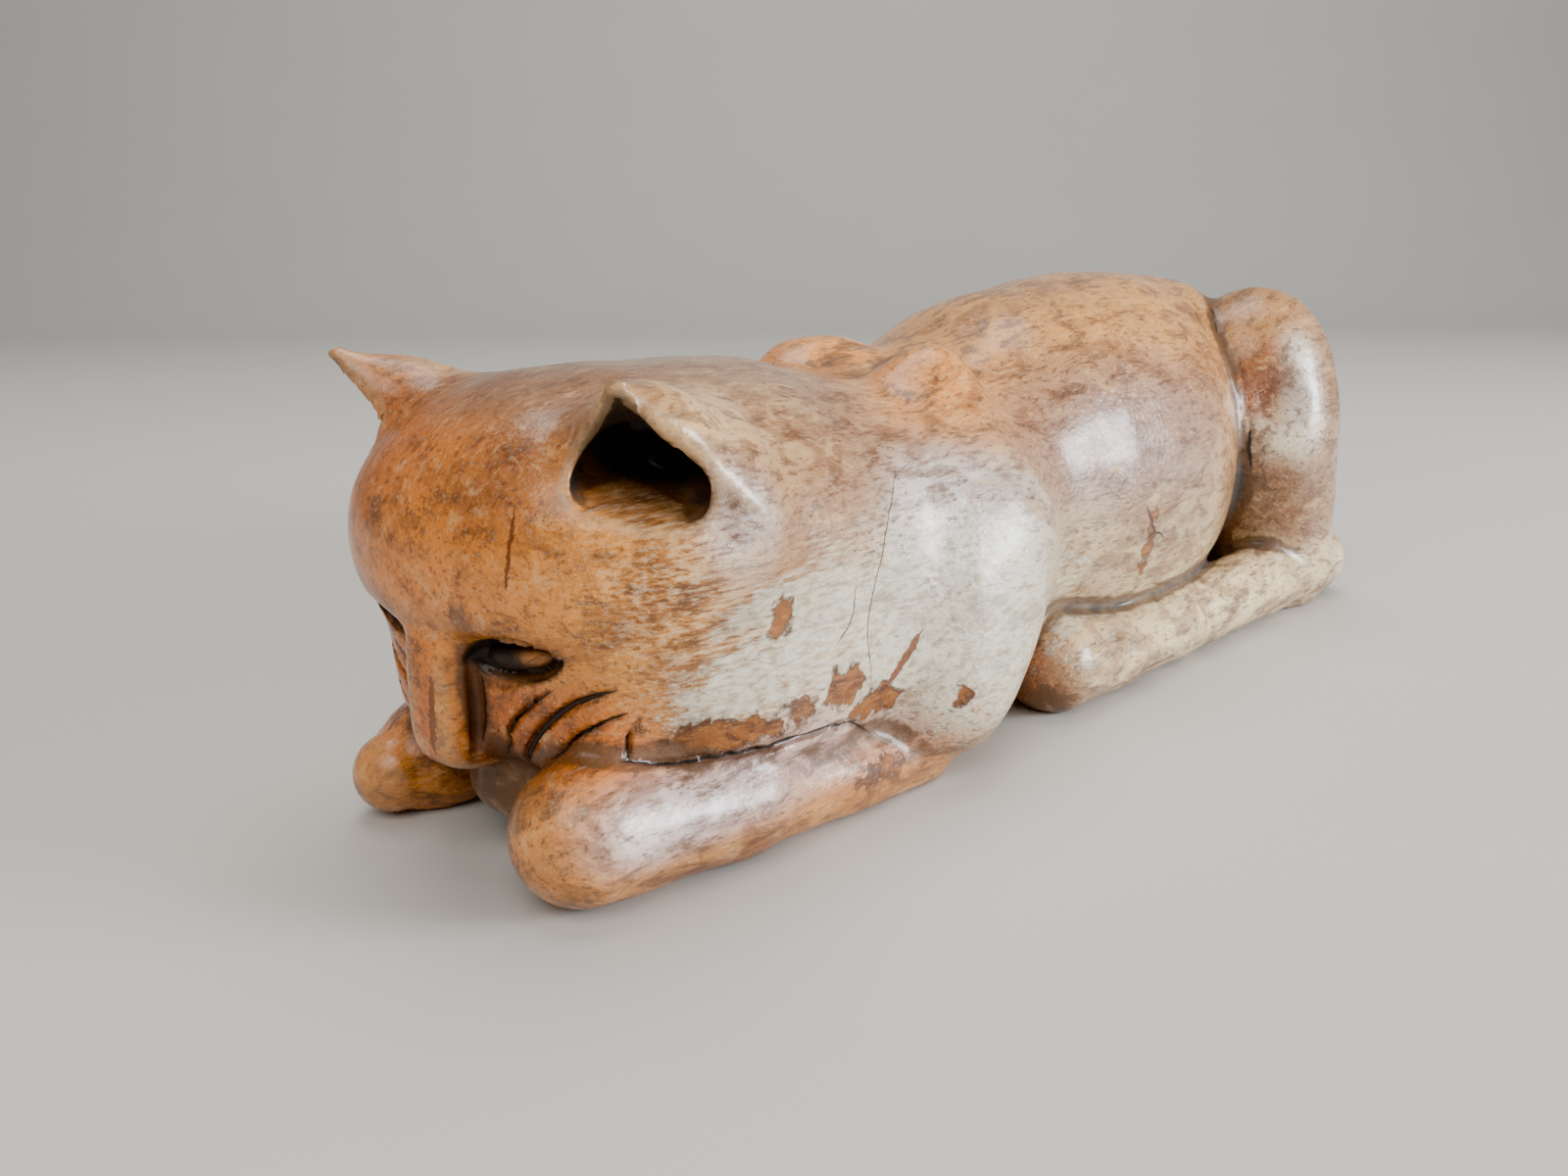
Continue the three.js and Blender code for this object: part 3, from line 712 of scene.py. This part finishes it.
def surface_values(points):
    """What the finish needs to know at each vertex, by name."""
    mirrored, curve = mirror(points), curvature(points)
    numbers = {
        "groove": groove_distance(points),
        # How far the form folds in, with the painted shade spots added.
        "fold": np.clip(-curve, 0, MOST_FOLDED) + PAINTED_SHADE_AMOUNT * sum_of(mirrored, PAINTED_SHADE_SPOTS),
        "edge": np.clip(curve - LEAST_BULGE, 0, 1),
        "bare": union_of(points, BARE).clip(-BARE_REACH, BARE_REACH),
        "pale": sum_of(mirrored, PALE_AREAS),
        "streaked": sum_of(mirrored, STREAKED),
        # Painted shade of the eyes, less where painted light falls on the eyeballs.
        "eye": eye_painted_shade(points),
        # Painted shade inside the ears.
        "ear": ear_painted_shade(points),
    }
    for number, lines in enumerate(line_sets()):
        for name, values in line_values(points, lines).items():
            numbers[f"line_{name}_{number}"] = values
    return numbers


def cat_mesh():
    points, quads = fine_surface()
    mesh = bpy.data.meshes.new("carved_cat_wood")
    real = np.clip((points - DRAWN_MIDDLE) * SCALE * MM, *solid_box)
    mesh.from_pydata(real.tolist(), [], quads.tolist())
    merge_underside(mesh)
    real = np.empty(len(mesh.vertices) * 3)
    mesh.vertices.foreach_get("co", real)
    points = real.reshape(-1, 3) / (SCALE * MM) + DRAWN_MIDDLE
    for name, values in surface_values(points).items():
        mesh.attributes.new(name, "FLOAT", "POINT").data.foreach_set("value", values.astype("f"))
    colour = np.hstack([tint(points), np.ones((len(points), 1))])
    layer = mesh.attributes.new("tint", "FLOAT_COLOR", "POINT")
    layer.data.foreach_set("color", colour.astype("f").ravel())
    mesh.shade_smooth()
    mesh.set_sharp_from_angle(angle=SHARP_EDGE)
    return mesh


class Shader:
    """Short ways to add and link the nodes of one material."""

    def __init__(self, name):
        self.material = bpy.data.materials.new(name)
        self.material.use_nodes = True
        self.tree = self.material.node_tree
        self.tree.nodes.clear()

    def add(self, kind, values=(), **settings):
        node = self.tree.nodes.new(kind)
        for key, value in settings.items():
            setattr(node, key, value)
        for key, value in dict(values).items():
            self.put(node.inputs[key], value)
        return node

    def put(self, socket, value):
        if isinstance(value, bpy.types.NodeSocket):
            self.tree.links.new(value, socket)
        else:
            socket.default_value = value

    def math(self, operation, a, b=0.0, clamp=False):
        node = self.add("ShaderNodeMath", {0: a, 1: b}, operation=operation, use_clamp=clamp)
        return node.outputs[0]

    def times(self, a, b):
        return self.math("MULTIPLY", a, b)

    def attribute(self, name):
        return self.add("ShaderNodeAttribute", attribute_name=name).outputs["Fac"]

    def place(self):
        return self.add("ShaderNodeTexCoord").outputs["Object"]

    def scaled(self, vector, scale):
        node = self.add("ShaderNodeVectorMath", {0: vector, 1: scale}, operation="MULTIPLY")
        return node.outputs[0]

    def noise(self, vector, scale, detail=3.0, roughness=0.55, distortion=0.0):
        values = {"Vector": vector, "Scale": scale, "Detail": detail, "Roughness": roughness,
                  "Distortion": distortion}
        return self.add("ShaderNodeTexNoise", values).outputs["Fac"]

    def between(self, value, low, high, to_low=0.0, to_high=1.0):
        values = {"Value": value, "From Min": low, "From Max": high, "To Min": to_low, "To Max": to_high}
        return self.add("ShaderNodeMapRange", values, interpolation_type="SMOOTHSTEP").outputs["Result"]

    def mix(self, share, a, b):
        node = self.add("ShaderNodeMix", data_type="RGBA")
        for socket, value in zip((node.inputs[0], node.inputs[6], node.inputs[7]), (share, a, b)):
            self.put(socket, (*value, 1) if isinstance(value, tuple) else value)
        return node.outputs[2]


# Ways in which a noise is stretched, as what a place in metres is multiplied by.
STRETCHES = {
    "even": (1000, 1000, 1000),
    "grain": (1000, 300, 1000),
    "fibre": (1000, 130, 1000),
    "across": (1000, 700, 1300),
    "dashes": (900, 130, 1500),
}
# Noises of the wood: how each is stretched, then scale, detail, roughness and distortion.
NOISES = {
    "broad": ("even", 0.055, 5, 0.6),
    "cloudy": ("grain", 0.30, 6, 0.66, 0.6),
    "speck": ("grain", 1.1, 4, 0.7),
    "hair": ("fibre", 2.2, 3, 0.65),
    "stain": ("across", 0.09, 5, 0.62, 0.8),
    "dash": ("dashes", 1.1, 3, 0.6),
    "patch": ("even", 0.38, 4, 0.55),
    "wobble": ("even", 0.7, 3, 0.6),
    "ridge": ("fibre", 1.6, 4, 0.6),
    "swell": ("even", 0.22, 4, 0.5),
    "pebble": ("even", 0.75, 3, 0.6),
}
# Mottled colours from the bottom up: which noise, the values of it between which the colour
# sets in, how much it covers at most, and the colour.
MOTTLING = [
    ("broad", 0.44, 0.70, 0.36, (0.24, 0.095, 0.040)),
    ("stain", 0.50, 0.60, 0.46, (0.17, 0.050, 0.012)),
    ("cloudy", 0.50, 0.63, 0.62, (0.14, 0.045, 0.014)),
    ("cloudy", 0.45, 0.33, 0.36, (0.86, 0.54, 0.24)),
    ("speck", 0.54, 0.72, 0.24, (0.70, 0.48, 0.28)),
    ("speck", 0.47, 0.34, 0.66, (0.10, 0.034, 0.013)),
    ("hair", 0.56, 0.70, 0.30, (0.80, 0.60, 0.38)),
    ("hair", 0.44, 0.30, 0.40, (0.12, 0.045, 0.018)),
]
# The same for the dashes along the grain, where the finish is worn through in lines.
DASHES = [
    (0.50, 0.40, 0.42, (0.78, 0.60, 0.38)),
    (0.54, 0.62, 0.74, (0.12, 0.045, 0.017)),
]
# The same for what lies over the wood, and for painted shade low down, in the folds, round the carved lines
# and in the eyes and ears.
COATS = {
    "craze": (0.022, 0.006, 0.40, (0.12, 0.075, 0.05)),
    "rim": (0.70, 0.15, 0.70, (0.10, 0.045, 0.02)),
    # Painted shade: darker towards the bottom, from 13 mm down.
    "low": (13, 1, 0.65, (0.11, 0.040, 0.013)),
    # Grime and painted shade in the folds, brown, then near black where they fold in most.
    "fold_dirt_and_shade": (0.02, 0.24, 0.85, (0.10, 0.045, 0.018)),
    "deep_fold_dirt_and_shade": (0.32, 0.62, 0.85, (0.036, 0.031, 0.029)),
    # Painted shade in a soft band round the carved lines.
    "groove_painted_shade": (0.45, -0.10, 0.60, (0.075, 0.027, 0.011)),
    # Painted shade in the eye sockets, less on the eyeballs.
    "eye": (0.05, 0.75, 0.97, (0.009, 0.006, 0.004)),
    # Painted shade inside the ears.
    "ear": (0.05, 0.80, 0.97, (0.011, 0.006, 0.004)),
    "worn": (0.03, 0.28, 0.35, (0.52, 0.33, 0.17)),
}
FILM = (0.28, 0.82, 0.74)
FILM_COLOURS = ((0.50, 0.43, 0.30), (0.72, 0.68, 0.56))
BARE_EDGE = (0.12, -0.12, 1.0)
BARE_COLOURS = ((0.27, 0.088, 0.016), (0.085, 0.024, 0.007), (0.42, 0.17, 0.045))
CUT_COVER = 0.94
CUT_SOFTNESS = 0.06  # in millimetres
CUT_COLOURS = ((0.19, 0.045, 0.008), (0.010, 0.007, 0.005))
# How much each thing adds to the roughness, and to the height in millimetres.
ROUGHNESS = {"film": 0.05, "bare": 0.12, "carved": 0.3, "dusty": 0.35, "eye": 0.5, "ear": 0.4}
HEIGHTS = {
    "ridge": 0.10, "speck": 0.06, "swell": 0.35, "pebble": 0.26,
    "bare": -0.18, "cut": -0.5, "craze": -0.03,
}
BUMP_STRENGTH = 0.75
GLOSS = {
    "IOR": 1.5, "Specular IOR Level": 0.3,
    "Coat Weight": 0.35, "Coat Roughness": 0.17, "Coat IOR": 1.45,
}


class Wood(Shader):
    """The worn wood, laid on from the ground colour up. What is made on the way is in found."""

    def __init__(self, name):
        super().__init__(name)
        place = self.place()
        self.stretched = {key: self.scaled(place, scale) for key, scale in STRETCHES.items()}
        self.found = {key: self.noise(self.stretched[stretch], *values)
                      for key, (stretch, *values) in NOISES.items()}
        self.colour = self.add("ShaderNodeAttribute", attribute_name="tint").outputs["Color"]

    def step(self, noise, low, high, to_low=0.0, to_high=1.0):
        return self.between(self.found[noise], low, high, to_low, to_high)

    def ragged(self, value, noise, amount, spread=0.2):
        """The value moved up and down by a noise, by the amount at most."""
        return self.math("ADD", value, self.step(noise, 0.5 - spread, 0.5 + spread, -amount, amount))

    def coat(self, value, start, end, cover, colour, factor=1.0):
        """Lays a colour on where the value gets from start to end, and gives how thick it is."""
        thick = self.math("MULTIPLY", self.between(value, start, end), factor, True)
        self.colour = self.mix(self.times(thick, cover), self.colour, colour)
        return thick

    def total(self, value, amounts):
        for name, amount in amounts.items():
            value = self.math("ADD", value, self.times(self.found[name], amount))
        return value

    def lay_mottling(self):
        for noise, *values in MOTTLING:
            self.coat(self.found[noise], *values)
        for values in DASHES:
            self.coat(self.found["dash"], *values, self.attribute("streaked"))

    def lay_wax(self):
        """A pale film of old wax with a ragged edge, crazed here and there."""
        colour = self.mix(self.step("speck", 0.40, 0.56), *FILM_COLOURS)
        edge = self.ragged(self.ragged(self.attribute("pale"), "cloudy", 0.35), "hair", 0.22)
        film = self.found["film"] = self.coat(edge, *FILM, colour)
        cells = {"Vector": self.stretched["grain"], "Scale": 0.28, "Randomness": 1.0}
        seam = self.add("ShaderNodeTexVoronoi", cells, feature="DISTANCE_TO_EDGE").outputs["Distance"]
        here = self.step("broad", 0.5, 0.6)
        start, end = COATS["craze"][:2]
        self.found["craze"] = self.times(self.between(seam, start, end), here)
        self.coat(seam, *COATS["craze"], self.times(here, film))

    def lay_bare(self):
        """Patches where the finish has come off down to brown wood, with a dark rim."""
        pale, dark, speckled = BARE_COLOURS
        colour = self.mix(self.step("cloudy", 0.42, 0.60), pale, dark)
        colour = self.mix(self.step("speck", 0.50, 0.62, 0, 0.5), colour, speckled)
        edge = self.ragged(self.attribute("bare"), "patch", 1.3, 0.25)
        self.found["bare"] = self.coat(edge, *BARE_EDGE, colour)
        self.coat(edge, *COATS["rim"], self.between(edge, -0.35, 0.05))

    def lay_dirt_and_shade(self):
        """Painted shade low down, in the folds with grime, round the carving and in the eyes and ears."""
        # Painted shade, darker towards the bottom.
        height = self.add("ShaderNodeSeparateXYZ", {"Vector": self.stretched["even"]}).outputs["Z"]
        self.coat(height, *COATS["low"], self.step("cloudy", 0.40, 0.60, 0.25, 1.0))
        fold = self.ragged(self.attribute("fold"), "cloudy", 0.10)
        # Grime and painted shade in the folds.
        self.coat(fold, *COATS["fold_dirt_and_shade"])
        self.coat(fold, *COATS["deep_fold_dirt_and_shade"])
        groove = self.ragged(self.attribute("groove"), "speck", 0.1)
        # Painted shade in a soft band round the carved lines.
        self.coat(groove, *COATS["groove_painted_shade"])
        self.found["dusty"] = self.between(fold, 0.05, 0.4)
        self.found["carved"] = self.between(groove, 0.5, 0.0)
        # Painted shade in the eye sockets, with painted light on the eyeballs.
        self.found["eye"] = self.attribute("eye")
        self.coat(self.found["eye"], *COATS["eye"])
        # Painted shade inside the ears.
        self.found["ear"] = self.coat(self.attribute("ear"), *COATS["ear"])

    def lay_lines(self, number):
        """One set of cracks and carved lines, and gives how deep inside them a place is."""
        side, width, black, fade = (self.attribute(f"line_{name}_{number}")
                                    for name in ("side", "width", "black", "fade"))
        wobble = self.times(self.step("wobble", 0.3, 0.7, -0.2, 0.2), self.between(black, 0, 1, 1, 0.35))
        across = self.math("ABSOLUTE", self.math("ADD", side, wobble))
        open_to = self.times(width, self.between(fade, 0, 1, 0.15, 1))
        open_to = self.times(open_to, self.step("speck", 0.25, 0.6, 0.8, 1.15))
        inside = self.math("SUBTRACT", open_to, across)
        colour = self.mix(black, *CUT_COLOURS)
        return self.coat(inside, -CUT_SOFTNESS, CUT_SOFTNESS, CUT_COVER, colour, self.between(fade, 0, 0.15))

    def finish(self):
        rough = self.math("MINIMUM", self.total(self.step("cloudy", 0.3, 0.7, 0.20, 0.36), ROUGHNESS), 1.0)
        height = self.total(0.0, HEIGHTS)
        bump = self.add("ShaderNodeBump", {"Height": height, "Strength": BUMP_STRENGTH, "Distance": MM})
        values = {"Base Color": self.colour, "Roughness": rough, "Normal": bump.outputs[0], **GLOSS}
        surface = self.add("ShaderNodeBsdfPrincipled", values)
        self.add("ShaderNodeOutputMaterial", {"Surface": surface.outputs[0]})
        return self.material


def wood_material():
    wood = Wood("worn_wood")
    wood.lay_mottling()
    wood.lay_wax()
    wood.lay_bare()
    wood.lay_dirt_and_shade()
    wood.found["cut"] = wood.math("MAXIMUM", wood.lay_lines(0), wood.lay_lines(1))
    wood.coat(wood.ragged(wood.attribute("edge"), "cloudy", 0.05), *COATS["worn"])
    return wood.finish()


FLOOR_COLOURS = ((0.58, 0.567, 0.545), (0.5713, 0.558495, 0.536825))
FLOOR_ROUGHNESS = 0.6
FLOOR_GRAIN = 9


def floor_material():
    paper = Shader("pale_floor")
    grain = paper.noise(paper.place(), FLOOR_GRAIN)
    colour = paper.mix(paper.between(grain, 0.3, 0.7), *FLOOR_COLOURS)
    values = {"Base Color": colour, "Roughness": FLOOR_ROUGHNESS}
    surface = paper.add("ShaderNodeBsdfPrincipled", values)
    paper.add("ShaderNodeOutputMaterial", {"Surface": surface.outputs[0]})
    return paper.material


def add_object(name, data):
    item = bpy.data.objects.new(name, data)
    bpy.context.scene.collection.objects.link(item)
    return item


# The pale floor, in metres: how far it comes forward and goes back, how high its back rises,
# the radius and steps of the bend between them, half its width and how far it lies under zero.
FLOOR_FRONT = -1.6
FLOOR_BACK = 1.5
FLOOR_RISE = 1.4
FLOOR_BEND = 0.5
FLOOR_STEPS = 12
FLOOR_HALF_WIDTH = 3.52
FLOOR_DROP = 0.0002


def add_floor():
    profile = [(FLOOR_FRONT, 0.0), (FLOOR_BACK - FLOOR_BEND, 0.0)]
    for i in range(1, FLOOR_STEPS + 1):
        angle = math.pi / 2 * i / FLOOR_STEPS
        profile.append((FLOOR_BACK - FLOOR_BEND * (1 - math.sin(angle)), FLOOR_BEND * (1 - math.cos(angle))))
    profile.append((FLOOR_BACK, FLOOR_RISE))
    verts = [(x, y, z) for y, z in profile for x in (-FLOOR_HALF_WIDTH, FLOOR_HALF_WIDTH)]
    faces = [(2 * i, 2 * i + 1, 2 * i + 3, 2 * i + 2) for i in range(len(profile) - 1)]
    mesh = bpy.data.meshes.new("floor")
    mesh.from_pydata(verts, [], faces)
    mesh.shade_smooth()
    mesh.materials.append(floor_material())
    floor = add_object("floor", mesh)
    floor.rotation_euler.z = CAMERA_AZIMUTH
    floor.location.z = -FLOOR_DROP


CAMERA_AT = (158.15, -110.78, 90.0)
CAMERA_AZIMUTH = math.radians(41.44)
CAMERA_PITCH = math.radians(14.63)
CAMERA_ROLL = -0.0089
CAMERA_LENS = 31.5
CAMERA_SENSOR = 36.0
CAMERA_NEAREST = 0.01


def add_camera():
    a, e, roll = CAMERA_AZIMUTH, CAMERA_PITCH, CAMERA_ROLL
    ahead = Vector((-math.sin(a) * math.cos(e), math.cos(a) * math.cos(e), -math.sin(e)))
    level = Vector((math.cos(a), math.sin(a), 0))
    upright = level.cross(ahead)
    right = level * math.cos(roll) + upright * math.sin(roll)
    up = upright * math.cos(roll) - level * math.sin(roll)
    lens = bpy.data.cameras.new("camera")
    lens.lens, lens.sensor_width, lens.sensor_fit = CAMERA_LENS, CAMERA_SENSOR, "HORIZONTAL"
    lens.clip_start = CAMERA_NEAREST
    camera = add_object("camera", lens)
    place = (Vector(CAMERA_AT) - Vector(DRAWN_MIDDLE)) * SCALE * MM
    matrix = Matrix((right, up, -ahead)).transposed().to_4x4()
    matrix.translation = place
    camera.matrix_world = matrix
    bpy.context.scene.camera = camera


# Lights: azimuth and elevation as the cat sees them, distance, size, power and colour.
LIGHTS = {
    "window": (30, 12, 1.1, (0.46, 0.34), 36, (0.92, 0.96, 1.0)),
    "room": (-62, 44, 1.3, (1.0, 0.8), 18, (1.0, 0.95, 0.88)),
    "ceiling": (140, 76, 1.2, (0.9, 0.9), 20, (1.0, 0.97, 0.93)),
}
LIT_HEIGHT = 0.04
WORLD_COLOUR = (0.86, 0.85, 0.82, 1)
WORLD_STRENGTH = 0.42


def add_light(name, azimuth, elevation, distance, size, power, colour):
    """A soft light of that width and height, seen from the cat at those angles, that faces it."""
    lamp = bpy.data.lights.new(name, "AREA")
    lamp.shape, lamp.energy, lamp.color = "RECTANGLE", power, colour
    lamp.size, lamp.size_y = size
    light = add_object(name, lamp)
    turn, lift = math.radians(azimuth), math.radians(elevation)
    away = Vector((math.cos(turn) * math.cos(lift), math.sin(turn) * math.cos(lift), math.sin(lift)))
    light.location = away * distance + Vector((0, 0, LIT_HEIGHT))
    light.rotation_euler = away.to_track_quat("Z", "Y").to_euler()


def add_lights():
    for name, values in LIGHTS.items():
        add_light(name, *values)
    world = bpy.data.worlds.new("soft_room")
    world.use_nodes = True
    background = world.node_tree.nodes["Background"]
    background.inputs["Color"].default_value = WORLD_COLOUR
    background.inputs["Strength"].default_value = WORLD_STRENGTH
    bpy.context.scene.world = world
    bpy.context.scene.view_settings.look = "AgX - Punchy"


add_camera()
add_lights()
add_floor()
cat = add_object("carved_cat_wood", cat_mesh())
cat.data.materials.append(wood_material())
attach(cat, "root")
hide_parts("carved_cat")
